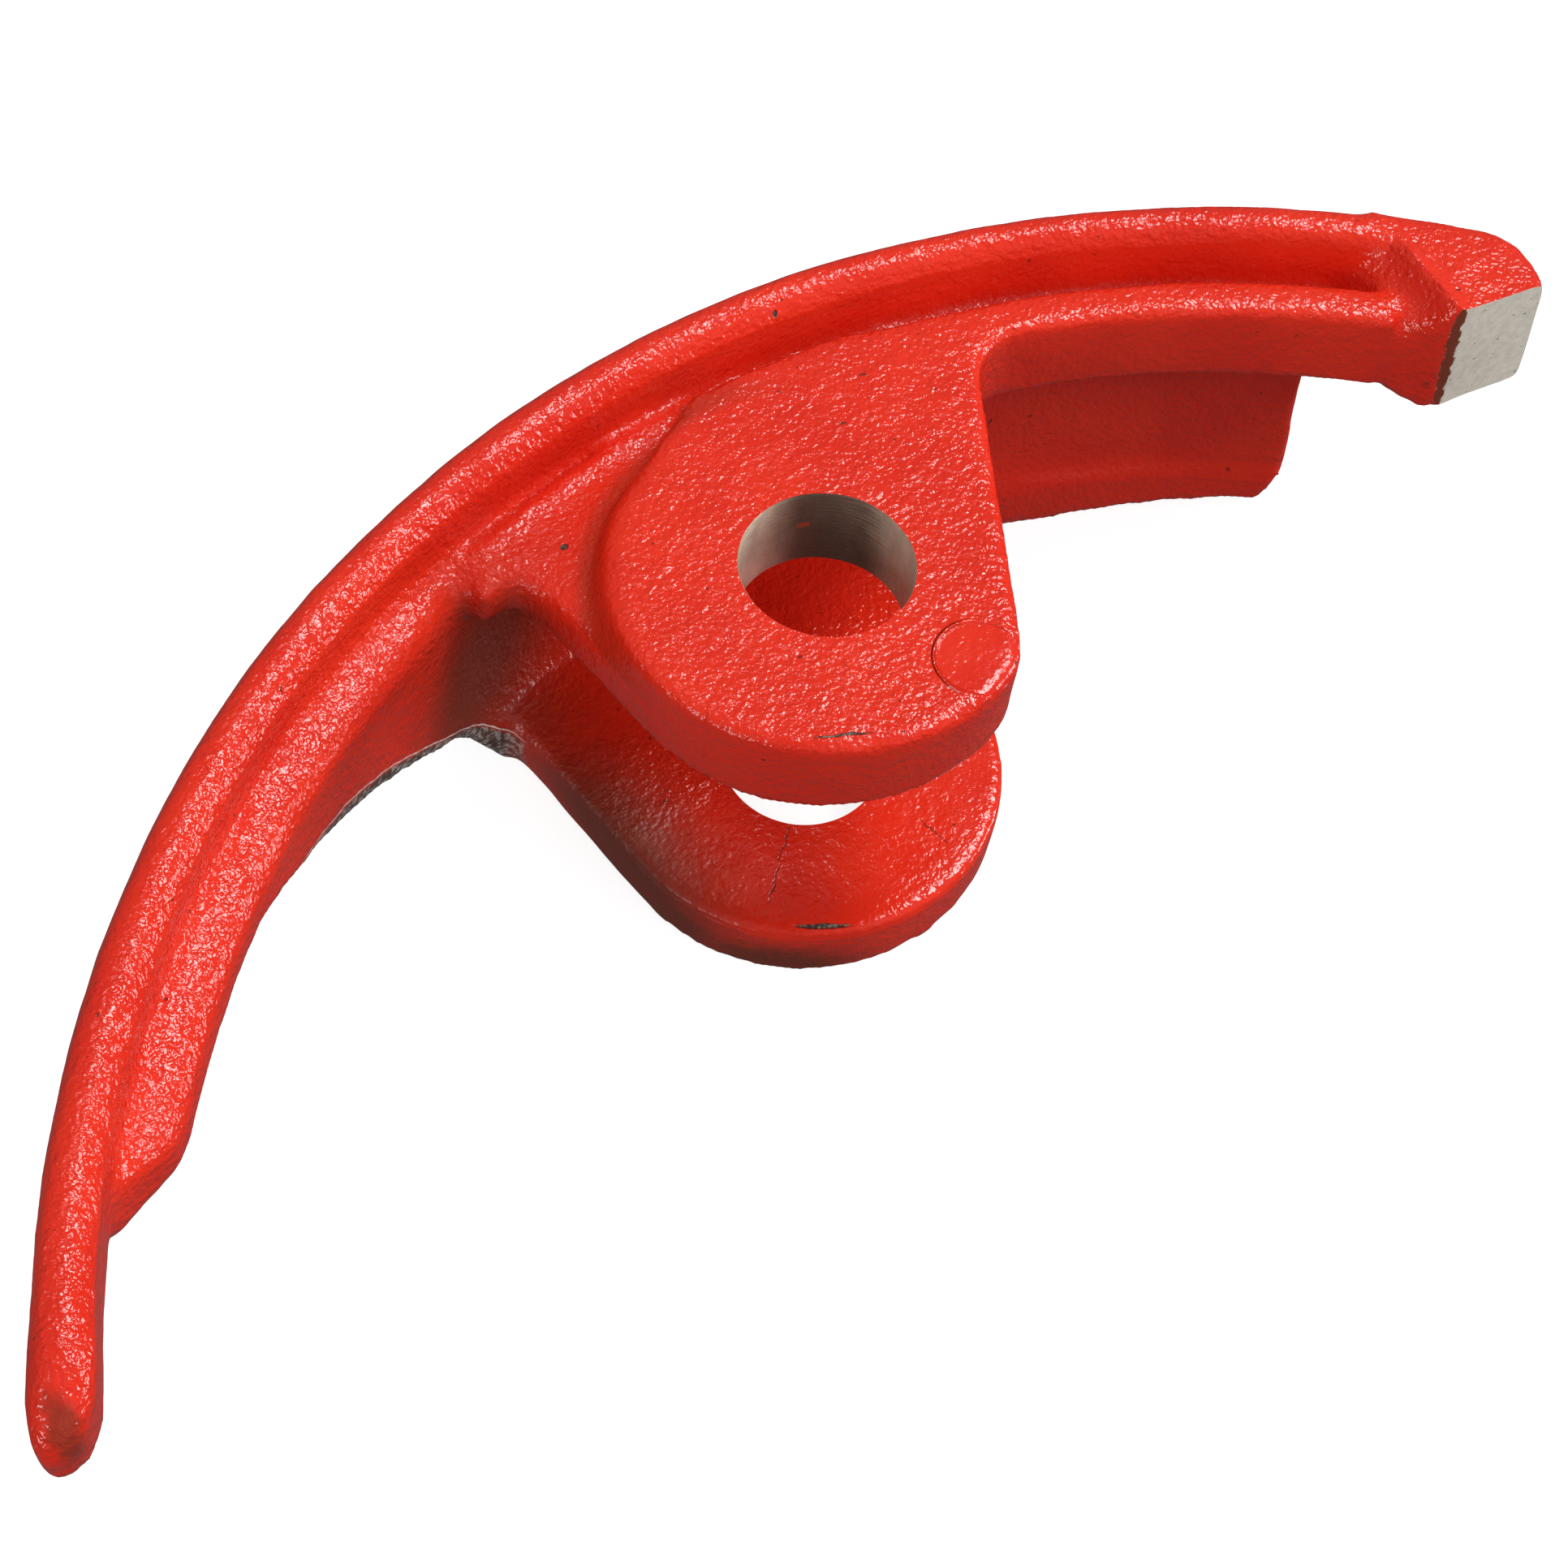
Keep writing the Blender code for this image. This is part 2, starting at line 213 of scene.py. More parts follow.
def add_nose_stock(bm, depth=2.4):
    """Stock beyond the nose face, to be cut away again."""
    near_top = FACET_POINT + Vector((0.1, 0.4, 0.0))
    far_top = FACET_POINT + Vector((7.1, -1.3, 0.0))
    near_low = FACET_POINT + Vector((1.4, -0.15, -11.0))
    far_low = FACET_POINT + Vector((8.4, -1.85, -11.0))
    inner = [near_top, far_top, far_low, near_low]
    back = [bm.verts.new(p - FACET_NORMAL * 1.0) for p in inner]
    front = [bm.verts.new(p + FACET_NORMAL * depth) for p in inner]
    faces = [bm.faces.new(back), bm.faces.new(front)]
    for i in range(4):
        j = (i + 1) % 4
        faces.append(bm.faces.new((back[i], back[j], front[j], front[i])))
    bmesh.ops.recalc_face_normals(bm, faces=faces)


def voxel_mesh(bm, size):
    """Remesh closed overlapping shells into one skin of even quads."""
    mesh = bpy.data.meshes.new("stock")
    bm.to_mesh(mesh)
    bm.free()
    item = bpy.data.objects.new("stock", mesh)
    bpy.context.scene.collection.objects.link(item)
    remesh = item.modifiers.new("remesh", "REMESH")
    remesh.mode = "VOXEL"
    remesh.voxel_size = size
    graph = bpy.context.evaluated_depsgraph_get()
    result = bpy.data.meshes.new_from_object(item.evaluated_get(graph))
    bpy.data.objects.remove(item)
    return result


class Skin:
    """A quad mesh as arrays, for smoothing and displacement."""

    def __init__(self, mesh):
        count = len(mesh.vertices)
        co = np.zeros(count * 3, np.float32)
        mesh.vertices.foreach_get("co", co)
        self.co = co.reshape(-1, 3).astype(float)
        pairs = np.zeros(len(mesh.edges) * 2, np.int32)
        mesh.edges.foreach_get("vertices", pairs)
        self.edges = pairs.reshape(-1, 2)
        corners = np.zeros(len(mesh.loops), np.int32)
        mesh.loops.foreach_get("vertex_index", corners)
        self.quads = corners.reshape(-1, 4)
        self.valence = np.bincount(self.edges.ravel(), minlength=count)[:, None]

    def lean(self):
        """From each vertex to the mean of its neighbours."""
        count = len(self.co)
        total = np.empty_like(self.co)
        a, b = self.edges[:, 0], self.edges[:, 1]
        for axis in range(3):
            values = self.co[:, axis]
            total[:, axis] = np.bincount(a, values[b], count) + np.bincount(b, values[a], count)
        return total / self.valence - self.co

    def normals(self):
        co, quads = self.co, self.quads
        face = np.cross(co[quads[:, 2]] - co[quads[:, 0]], co[quads[:, 3]] - co[quads[:, 1]])
        total = np.empty_like(co)
        flat = quads.ravel()
        for axis in range(3):
            total[:, axis] = np.bincount(flat, np.repeat(face[:, axis], 4), len(co))
        return total / np.maximum(np.linalg.norm(total, axis=1, keepdims=True), 1e-12)

    def smooth(self, rounds, weight=None):
        """Even out the skin; with a weight per vertex, only where that is above 0."""
        share = SMOOTH_RATE if weight is None else SMOOTH_RATE * weight[:, None]
        for _ in range(rounds):
            self.co += share * self.lean()

    def fill_hollows(self, rounds, weight):
        """Grow fillets: only vertices that sit in a hollow move, and only outward."""
        for i in range(rounds):
            if i % FILL_NORMALS_EVERY == 0:
                normal = self.normals()
            rise = np.clip((self.lean() * normal).sum(axis=1), 0.0, None)
            self.co += normal * (rise * weight * FILL_RATE)[:, None]


def ramp(values, start, end):
    """Smooth 0 to 1 from start to end."""
    share = np.clip((values - start) / (end - start), 0.0, 1.0)
    return share * share * (3.0 - 2.0 * share)


def arc_polar(co):
    """Radius and angle in degrees about the rail's centre."""
    x, y = co[:, 0] - ARC_CENTRE[0], co[:, 1] - ARC_CENTRE[1]
    return np.hypot(x, y), np.degrees(np.arctan2(y, x))


def bell(x, y, centre, spread):
    """1 on an upright axis, falling away around it; spread is in square millimetres."""
    return np.exp(-((x - centre[0]) ** 2 + (y - centre[1]) ** 2) / spread)


def noise_at(co, size, seed):
    """Perlin noise of that feature size, -1 to 1, one value per vertex."""
    shift = Vector((seed * 17.3, seed * 5.1, seed * 9.7))
    return np.array([noise.noise(Vector(p) / size + shift) for p in co])


def fillet(skin):
    """Cast fillets: modest everywhere, generous in the fork and at the foot of the hub's step."""
    radius, angle = arc_polar(skin.co)
    x, y, z = skin.co.T
    in_fork = ramp(-z, -24.5, -22.0) * ramp(radius, 70.0, 73.0) * ramp(angle, 60.0, 66.0)
    pocket = bell(x, y, POCKET, 16.0) * ramp(z, 12.0, 18.0)
    step = np.exp(-(np.hypot(x - PIVOT[0], y - PIVOT[1]) - STEP_RADIUS) ** 2 / 8.0)
    step *= ramp(-x, -2.0, 2.0) * ramp(y, -2.0, 4.0) * ramp(z, 25.5, 27.0)
    skin.smooth(1)
    skin.fill_hollows(10, np.ones(len(x)))
    strong = np.clip(0.9 * in_fork + 0.9 * step, 0.0, 1.0)
    skin.fill_hollows(70, strong)
    notch = bell(x, y, NOTCH, 12.0) * ramp(-z, -13.0, -7.0)
    skin.smooth(40, np.maximum(pocket, notch))
    skin.smooth(10, strong)
    skin.smooth(3)


def crown_rail(skin):
    """Round the rail's top across its width."""
    radius, angle = arc_polar(skin.co)
    drop = CROWN_FALL * ((radius - CROWN_RADIUS) / CROWN_HALF_WIDTH) ** 2
    on_top = ramp(skin.co[:, 2], 31.2, 32.4) * ramp(angle, 52.0, 58.0) * ramp(radius, 78.5, 79.5)
    skin.co[:, 2] -= on_top * np.clip(drop, 0.0, 0.7)


def shape_ends(skin):
    """Fuller tail tip, fuller lower corner on the back wall's free end, deeper foot of the nose."""
    normal = skin.normals()
    x, y, z = skin.co.T
    tip = bell(x, y, TIP, 14.0) * ramp(-z, -32.5, -30.5)
    corner = bell(x, y, WALL_CORNER, 18.0)
    corner *= np.exp(-((z - WALL_CORNER[2]) / 4.5) ** 2) * np.clip(normal[:, 0], 0.0, 1.0)
    skin.co += normal * (TIP_SWELL * tip + CORNER_SWELL * corner)[:, None]
    foot = bell(x, y, NOSE_FOOT, 10.0) * ramp(-z, -24.5, -22.6)
    skin.co[:, 2] -= NOSE_FOOT_DROP * foot


def raise_beads(skin):
    """Rounded beads along the nose's ridge and along the gusset's far edge."""
    radius, angle = arc_polar(skin.co)
    x, y, z = skin.co.T
    aside = x - NOSE_RIDGE_X - 0.196 * (y + 11.5)
    ridge = np.exp(-(aside / 0.7) ** 2) * ramp(z, 30.5, 32.0) * ramp(-radius, -80.6, -79.2)
    ridge *= ramp(x, 54.0, 56.0)
    edge = np.exp(-((radius - GUSSET_EDGE_RADIUS) / 0.8) ** 2) * ramp(-z, -29.8, -28.6)
    edge *= ramp(z, 26.6, 27.4) * ramp(angle, 86.0, 90.0) * ramp(-angle, -104.5, -102.0)
    skin.co[:, 2] += NOSE_RIDGE_HEIGHT * ridge + GUSSET_EDGE_HEIGHT * edge


def roughen(skin):
    """Sand-cast unevenness: slow waves, lumps and a coarse grain, none of it below the floor."""
    normal = skin.normals()
    height = np.zeros(len(skin.co))
    for seed, (size, rise) in enumerate(UNEVENNESS, start=1):
        height += rise * noise_at(skin.co, size, seed)
    skin.co += normal * height[:, None]
    skin.co[:, 2] = np.maximum(skin.co[:, 2], 0.0)


def write_back(skin, mesh):
    mesh.vertices.foreach_set("co", skin.co.astype(np.float32).ravel())
    mesh.update()


# ---------------------------------------------------------------- machining

def bore_tool(bm):
    """Straight boring bar with a small flare where it leaves each outer face."""
    wide = BORE_RADIUS + BORE_FLARE
    levels = [(-2.0, wide), (-0.05, wide), (BORE_FLARE, BORE_RADIUS),
              (HUB_TOP - BORE_FLARE - 0.05, BORE_RADIUS), (HUB_TOP + 0.12, wide), (36.0, wide)]
    rings = []
    for z, radius in levels:
        ring = []
        for i in range(BORE_SEGMENTS):
            turn = 2.0 * math.pi * i / BORE_SEGMENTS
            ring.append(bm.verts.new((PIVOT[0] + radius * math.cos(turn),
                                      PIVOT[1] + radius * math.sin(turn), z)))
        rings.append(ring)
    for ring, following in zip(rings, rings[1:]):
        for i in range(BORE_SEGMENTS):
            j = (i + 1) % BORE_SEGMENTS
            bm.faces.new((ring[i], ring[j], following[j], following[i]))
    bm.faces.new(rings[0])
    bm.faces.new(rings[-1])


def facing_tool(bm):
    """Block whose near side lies on the nose face."""
    up = FACET_NORMAL.cross(FACET_ALONG)
    corners = []
    for out in (0.0, 8.0):
        for along, high in ((-3.4, -16.0), (13.0, -16.0), (13.0, 5.0), (-3.4, 5.0)):
            place = FACET_POINT + FACET_ALONG * along + up * high + FACET_NORMAL * out
            corners.append(bm.verts.new(place))
    loops = ((0, 1, 2, 3), (4, 5, 6, 7), (0, 1, 5, 4), (1, 2, 6, 5), (2, 3, 7, 6), (3, 0, 4, 7))
    for loop in loops:
        bm.faces.new([corners[i] for i in loop])


def cut(item, tool_shape, material):
    """Cut one tool's shape out of item; the new faces take the given material."""
    bm = bmesh.new()
    tool_shape(bm)
    bmesh.ops.recalc_face_normals(bm, faces=bm.faces)
    mesh = bpy.data.meshes.new("tool")
    bm.to_mesh(mesh)
    bm.free()
    mesh.materials.append(material)
    tool = bpy.data.objects.new("tool", mesh)
    bpy.context.scene.collection.objects.link(tool)
    modifier = item.modifiers.new("cut", "BOOLEAN")
    modifier.operation = "DIFFERENCE"
    modifier.solver = "EXACT"
    modifier.material_mode = "TRANSFER"
    modifier.object = tool
    graph = bpy.context.evaluated_depsgraph_get()
    result = bpy.data.meshes.new_from_object(item.evaluated_get(graph))
    item.modifiers.clear()
    item.data = result
    bpy.data.objects.remove(tool)


# ---------------------------------------------------------------- materials

class Nodes:
    """Short names for building a material's node tree."""

    def __init__(self, name):
        self.material = bpy.data.materials.new(name)
        self.material.use_nodes = True
        self.tree = self.material.node_tree
        self.shader = self.tree.nodes["Principled BSDF"]
        coords = self.tree.nodes.new("ShaderNodeTexCoord").outputs["Object"]
        self.mm = self.vector("MULTIPLY", coords, (1.0 / MM,) * 3)

    def link(self, source, target):
        if isinstance(source, bpy.types.NodeSocket):
            self.tree.links.new(source, target)
        else:
            target.default_value = source

    def vector(self, operation, a, b):
        node = self.tree.nodes.new("ShaderNodeVectorMath")
        node.operation = operation
        self.link(a, node.inputs[0])
        self.link(b, node.inputs[1])
        kind = "Value" if operation in ("LENGTH", "DOT_PRODUCT") else "Vector"
        return node.outputs[kind]

    def math(self, operation, a, b=0.0):
        node = self.tree.nodes.new("ShaderNodeMath")
        node.operation = operation
        self.link(a, node.inputs[0])
        self.link(b, node.inputs[1])
        return node.outputs["Value"]

    def times(self, a, b):
        return self.math("MULTIPLY", a, b)

    def level(self):
        """Height above the floor in millimetres."""
        return self.vector("DOT_PRODUCT", self.mm, (0.0, 0.0, 1.0))

    def reach(self, centre):
        """Level distance in millimetres from the upright axis through centre."""
        place = self.vector("SUBTRACT", self.mm, (*centre, 0.0))
        flat = self.vector("MULTIPLY", place, (1.0, 1.0, 0.0))
        return self.vector("LENGTH", flat, (0.0, 0.0, 0.0))

    def noise(self, size, detail=2.0, roughness=0.5, where=None, kind="Fac"):
        """Noise with features of that size in millimetres."""
        node = self.tree.nodes.new("ShaderNodeTexNoise")
        self.link(where if where is not None else self.mm, node.inputs["Vector"])
        node.inputs["Scale"].default_value = 1.0 / size
        node.inputs["Detail"].default_value = detail
        node.inputs["Roughness"].default_value = roughness
        return node.outputs[kind]

    def span(self, value, low, high, out_low=0.0, out_high=1.0):
        """Smoothly map low..high to out_low..out_high."""
        node = self.tree.nodes.new("ShaderNodeMapRange")
        node.interpolation_type = "SMOOTHSTEP"
        for name, setting in (("Value", value), ("From Min", low), ("From Max", high),
                              ("To Min", out_low), ("To Max", out_high)):
            self.link(setting, node.inputs[name])
        return node.outputs["Result"]

    def mix(self, factor, a, b):
        node = self.tree.nodes.new("ShaderNodeMix")
        node.data_type = "RGBA"
        self.link(factor, node.inputs["Factor"])
        self.link(a if not isinstance(a, tuple) else (*a, 1.0), node.inputs["A"])
        self.link(b if not isinstance(b, tuple) else (*b, 1.0), node.inputs["B"])
        return node.outputs["Result"]

    def blend(self, factor, a, b):
        """Mix two numbers."""
        node = self.tree.nodes.new("ShaderNodeMix")
        node.data_type = "FLOAT"
        self.link(factor, node.inputs["Factor"])
        self.link(a, node.inputs["A"])
        self.link(b, node.inputs["B"])
        return node.outputs["Result"]

    def blotch(self, centre, radii, turn=0.0, ragged=0.5, edge=0.25):
        """1 inside a ragged ellipsoid with those radii, turned about Z by degrees."""
        wobble = self.noise(0.9, 2.0, 0.6, kind="Color")
        wobble = self.vector("SUBTRACT", wobble, (0.5, 0.5, 0.5))
        wobble = self.vector("MULTIPLY", wobble, (ragged * 2.0,) * 3)
        place = self.vector("SUBTRACT", self.mm, centre)
        place = self.vector("ADD", place, wobble)
        turner = self.tree.nodes.new("ShaderNodeVectorRotate")
        turner.rotation_type = "Z_AXIS"
        turner.inputs["Angle"].default_value = math.radians(-turn)
        self.link(place, turner.inputs["Vector"])
        scaled = self.vector("DIVIDE", turner.outputs["Vector"], radii)
        return self.span(self.vector("LENGTH", scaled, (0.0, 0.0, 0.0)), 1.0 + edge, 1.0 - edge)

    def bump(self, height, distance):
        node = self.tree.nodes.new("ShaderNodeBump")
        node.inputs["Strength"].default_value = 1.0
        node.inputs["Distance"].default_value = distance
        self.link(height, node.inputs["Height"])
        return node.outputs["Normal"]

    def finish(self, colour, roughness, metallic, normal):
        for name, setting in (("Base Color", colour), ("Roughness", roughness),
                              ("Metallic", metallic), ("Normal", normal)):
            self.link(setting, self.shader.inputs[name])
        return self.material


def most(nodes, masks):
    """The strongest of several masks at each place."""
    total = masks[0]
    for mask in masks[1:]:
        total = nodes.math("MAXIMUM", total, mask)
    return total


def paint_layers(nodes):
    """Colour, roughness and bump height of red enamel over a sand-cast surface."""
    tone = nodes.noise(9.0, 3.0)
    colour = nodes.mix(nodes.span(tone, 0.3, 0.7), PAINT_DEEP, PAINT_BRIGHT)
    lumps = nodes.noise(1.3, 1.0, 0.5)
    grain = nodes.noise(0.46, 1.0, 0.5)
    fine = nodes.noise(0.25, 1.0, 0.5)
    height = nodes.math("ADD", nodes.times(grain, 0.50), nodes.times(lumps, 0.45))
    height = nodes.math("ADD", height, nodes.times(fine, 0.12))
    roughness = nodes.span(nodes.noise(2.6, 3.0), 0.35, 0.7, 0.13, 0.21)
    shifted = nodes.vector("ADD", nodes.mm, (31.0, 7.0, 3.0))
    pits = nodes.span(nodes.noise(0.7, 0.0, where=shifted), 0.855, 0.875)
    colour = nodes.mix(nodes.times(pits, 0.7), colour, PIT)
    return colour, roughness, height


def blotches(nodes, table):
    """One mask for a table of blotches."""
    return most(nodes, [nodes.blotch(*row) for row in table])


def step_painted_shade(nodes):
    """Painted shade along the foot of the hub's step, on its upper left."""
    place = nodes.vector("SUBTRACT", nodes.mm, (*PIVOT, 0.0))
    reach = nodes.reach(PIVOT)
    ring = nodes.times(nodes.span(reach, 15.6, 16.8), nodes.span(reach, 18.6, 17.2))
    side = nodes.span(nodes.vector("DOT_PRODUCT", place, (-0.6, 0.8, 0.0)), 6.0, 14.0)
    return nodes.times(nodes.times(ring, side), nodes.span(nodes.level(), 27.0, 27.8))


def flash_masks(nodes):
    """Painted highlight along the tail wall's parting line, and the strip below it: bare scale with
    a painted reflection.
    """
    place = nodes.vector("SUBTRACT", nodes.mm, (*ARC_CENTRE, 0.0))
    split = nodes.tree.nodes.new("ShaderNodeSeparateXYZ")
    nodes.link(place, split.inputs["Vector"])
    turn = nodes.math("ARCTAN2", split.outputs["Y"], split.outputs["X"])
    past = nodes.math("SUBTRACT", nodes.times(turn, 180.0 / math.pi), FLASH_START)
    bow = nodes.times(nodes.times(past, past), 0.040)
    climb = nodes.math("ADD", nodes.times(past, 1.617), 5.0)
    line = nodes.math("SUBTRACT", climb, bow)
    wander = nodes.times(nodes.math("SUBTRACT", nodes.noise(1.4, 2.0), 0.5), 0.7)
    under = nodes.math("ADD", nodes.math("SUBTRACT", line, split.outputs["Z"]), wander)
    along = nodes.times(nodes.span(past, -1.6, 0.6), nodes.span(past, 21.0, 17.0))
    along = nodes.times(along, nodes.span(nodes.reach(ARC_CENTRE), 75.2, 76.4))
    strip = nodes.times(nodes.span(under, 0.15, 0.45), along)
    flash_highlight = nodes.times(nodes.span(under, -0.12, 0.0), nodes.span(under, 0.16, 0.03))
    return nodes.times(flash_highlight, along), strip


def disc_mark(nodes):
    """Rim height and inside mask of the round scar on the upper ear."""
    place = nodes.vector("SUBTRACT", nodes.mm, (*MARK_CENTRE, 0.0))
    reach = nodes.reach(MARK_CENTRE)
    on_top = nodes.span(nodes.level(), 29.8, 30.4)
    inside = nodes.times(nodes.span(reach, MARK_RADIUS, MARK_RADIUS - 0.25), on_top)
    rim = nodes.times(nodes.span(reach, MARK_RADIUS - 0.05, MARK_RADIUS + 0.1),
                     nodes.span(reach, MARK_RADIUS + 0.35, MARK_RADIUS + 0.15))
    ahead = nodes.vector("DOT_PRODUCT", place, (-0.75, 0.66, 0.0))
    shown = nodes.times(on_top, nodes.span(ahead, 0.6, 2.2))
    return nodes.times(rim, shown), inside


def painted_iron():
    """Red enamel with its chips, cracks and worn places; brown film with painted shade in the fork,
    painted shade along the hub's step, a painted highlight on the parting-line flash and a painted
    reflection on the bare strip below it.
    """
    nodes = Nodes("red_paint")
    colour, roughness, height = paint_layers(nodes)
    rim, inside = disc_mark(nodes)
    level = nodes.level()
    on_plate = nodes.times(nodes.span(level, 4.6, 5.2), nodes.span(level, 7.5, 6.5))
    forward = nodes.vector("DOT_PRODUCT", nodes.mm, (0.0, 1.0, 0.0))
    on_plate = nodes.times(on_plate, nodes.span(forward, 3.0, -1.0))
    calm = nodes.math("MAXIMUM", inside, on_plate)
    height = nodes.times(height, nodes.span(calm, 0.0, 1.0, 1.0, 0.42))
    height = nodes.math("ADD", height, nodes.times(rim, 0.8))
    grime_and_shade = blotches(nodes, GRIME_AND_SHADE_FILMS)
    # Painted shade, with some brown film, in the fork and the recesses
    colour = nodes.mix(nodes.times(grime_and_shade, 0.9), colour, GRIME_AND_PAINTED_SHADE)
    # Painted shade along the foot of the hub's step
    colour = nodes.mix(nodes.times(step_painted_shade(nodes), 0.5), colour, STEP_PAINTED_SHADE)
    cracked = blotches(nodes, CRACKS)
    colour = nodes.mix(nodes.times(cracked, 0.6), colour, CRACK)
    height = nodes.math("SUBTRACT", height, nodes.times(cracked, 0.3))
    chipped = blotches(nodes, CHIPS)
    grit = nodes.span(nodes.noise(0.35, 2.0), 0.4, 0.65)
    colour = nodes.mix(chipped, colour, nodes.mix(grit, CHIP_DARK, CHIP_LIGHT))
    brass = nodes.blotch((-21.8, 10.4, 26.0), (0.75, 0.6, 0.6), 20.0, 0.35)
    colour = nodes.mix(brass, colour, nodes.mix(grit, BRASS_DARK, BRASS_LIGHT))
    strip = nodes.blotch((60.15, -10.9, 28.0), (0.55, 1.1, 4.8), 0.0, 0.7, 0.2)
    colour = nodes.mix(nodes.times(strip, 0.9), colour, NOSE_EDGE_BROWN)
    tip = nodes.blotch((-68.7, -22.9, 31.2), (0.9, 1.9, 3.4), -12.0, 0.6, 0.5)
    colour = nodes.mix(nodes.times(tip, 0.75), colour, TIP_BROWN)
    flash_highlight, bare_strip_with_reflection = flash_masks(nodes)
    patches = nodes.span(nodes.noise(0.5, 3.0, 0.6), 0.42, 0.68)
    # Strip below the parting line: bare scale with a painted reflection, in grey patches
    colour = nodes.mix(bare_strip_with_reflection, colour, nodes.mix(patches, SCALE_REFLECTION_DARK, SCALE_REFLECTION_LIGHT))
    # Pale line on the parting-line flash: a painted highlight
    colour = nodes.mix(flash_highlight, colour, FLASH_PAINTED_HIGHLIGHT)
    bare = nodes.math("MAXIMUM", chipped, brass)
    dull = most(nodes, [bare, strip, nodes.times(grime_and_shade, 0.9)])
    roughness = nodes.blend(dull, roughness, 0.5)
    height = nodes.math("SUBTRACT", height, nodes.times(bare, 0.5))
    normal = nodes.bump(height, PAINT_BUMP)
    material = nodes.finish(colour, roughness, nodes.times(brass, 0.5), normal)
    nodes.shader.inputs["IOR"].default_value = PAINT_IOR
    return material


def bored_steel():
    """Turned bore: fine rings that spread the light, and a painted dark reflection towards the
    middle.
    """
    nodes = Nodes("bored_steel")
    rings = nodes.noise(1.0, 3.0, 0.6, where=nodes.vector("MULTIPLY", nodes.mm, (0.12, 0.12, 7.0)))
    stain = nodes.noise(1.6, 4.0, 0.6, where=nodes.vector("MULTIPLY", nodes.mm, (1.0, 1.0, 0.6)))
    colour = nodes.mix(nodes.span(stain, 0.3, 0.7), STEEL_DULL, STEEL_BRIGHT)
    # Painted dark reflection: a dark brown band across the middle of the bore
    place = nodes.vector("SUBTRACT", nodes.mm, (*PIVOT, 0.0))
    across = nodes.vector("DOT_PRODUCT", place, tuple(v / BORE_RADIUS for v in DARK_REFLECTION_ACROSS))
    dark_reflection = nodes.times(nodes.span(across, -0.80, -0.25), nodes.span(across, 0.95, 0.45))
    colour = nodes.mix(nodes.times(dark_reflection, 0.85), colour, STEEL_PAINTED_DARK_REFLECTION)
    fleck = nodes.blotch((8.1, 5.0, 27.6), (0.5, 0.5, 0.28), 0.0, 0.25)
    colour = nodes.mix(fleck, colour, PAINT_FLECK)
    metallic = nodes.times(nodes.math("SUBTRACT", 1.0, fleck), 0.6)
    roughness = nodes.span(stain, 0.3, 0.7, 0.52, 0.38)
    return nodes.finish(colour, roughness, metallic, nodes.bump(rings, BORE_BUMP))


def faced_iron():
    """Ground nose face: pale and even, with brown dirt along its near border."""
    nodes = Nodes("faced_iron")
    mottle = nodes.noise(0.7, 4.0, 0.65)
    colour = nodes.mix(nodes.span(mottle, 0.3, 0.7), FACE_DULL, FACE_BRIGHT)
    specks = nodes.span(nodes.noise(0.42, 1.0), 0.70, 0.76)
    colour = nodes.mix(nodes.times(specks, 0.75), colour, FACE_SPECK)
    wobble = nodes.times(nodes.math("SUBTRACT", nodes.noise(0.9, 4.0, 0.65), 0.5), 1.5)
    offset = FACET_ALONG.dot(FACET_POINT)
    along = nodes.vector("DOT_PRODUCT", nodes.mm, tuple(FACET_ALONG))
    along = nodes.math("SUBTRACT", along, offset)
    level = nodes.level()
    near = nodes.math("ADD", nodes.math("ADD", along, nodes.times(level, 0.12)), wobble)
    strip = nodes.span(near, 4.15, 3.95)
    paint, paint_rough, paint_height = paint_layers(nodes)
    colour = nodes.mix(strip, colour, FACE_BORDER)
    over = nodes.span(near, 3.0, 2.8)
    colour = nodes.mix(over, colour, paint)
    roughness = nodes.blend(over, 0.55, paint_rough)
    height = nodes.blend(over, nodes.times(mottle, 0.1), paint_height)
    return nodes.finish(colour, roughness, 0.0, nodes.bump(height, FACE_BUMP))


# ---------------------------------------------------------------- casting

def build_casting():
    bm = merged_copy(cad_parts["arm_casting"])
    add_plug(bm, 0.0, LOWER_EAR_TOP)
    add_plug(bm, UPPER_EAR_BOTTOM, HUB_TOP)
    add_nose_stock(bm)
    mesh = voxel_mesh(bm, VOXEL)
    skin = Skin(mesh)
    fillet(skin)
    crown_rail(skin)
    shape_ends(skin)
    raise_beads(skin)
    roughen(skin)
    write_back(skin, mesh)
    item = bpy.data.objects.new("casting", mesh)
    bpy.context.scene.collection.objects.link(item)
    mesh.materials.clear()
    mesh.materials.append(painted_iron())
    cut(item, bore_tool, bored_steel())
    cut(item, facing_tool, faced_iron())
    item.data.transform(Matrix.Scale(MM, 4))
    item.data.shade_smooth()
    item.data.set_sharp_from_angle(angle=SHARP_ANGLE)
    return item


casting = build_casting()
print("casting faces", len(casting.data.polygons), [m.name for m in casting.data.materials])
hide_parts("arm_casting")
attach(casting, "root")


# ---------------------------------------------------------------- studio

def plain_material(name, colour, roughness, glow):
    material = bpy.data.materials.new(name)
    material.use_nodes = True
    shader = material.node_tree.nodes["Principled BSDF"]
    shader.inputs["Base Color"].default_value = (*colour, 1.0)
    shader.inputs["Roughness"].default_value = roughness
    shader.inputs["Emission Color"].default_value = (1.0, 1.0, 1.0, 1.0)
    shader.inputs["Emission Strength"].default_value = glow
    return material


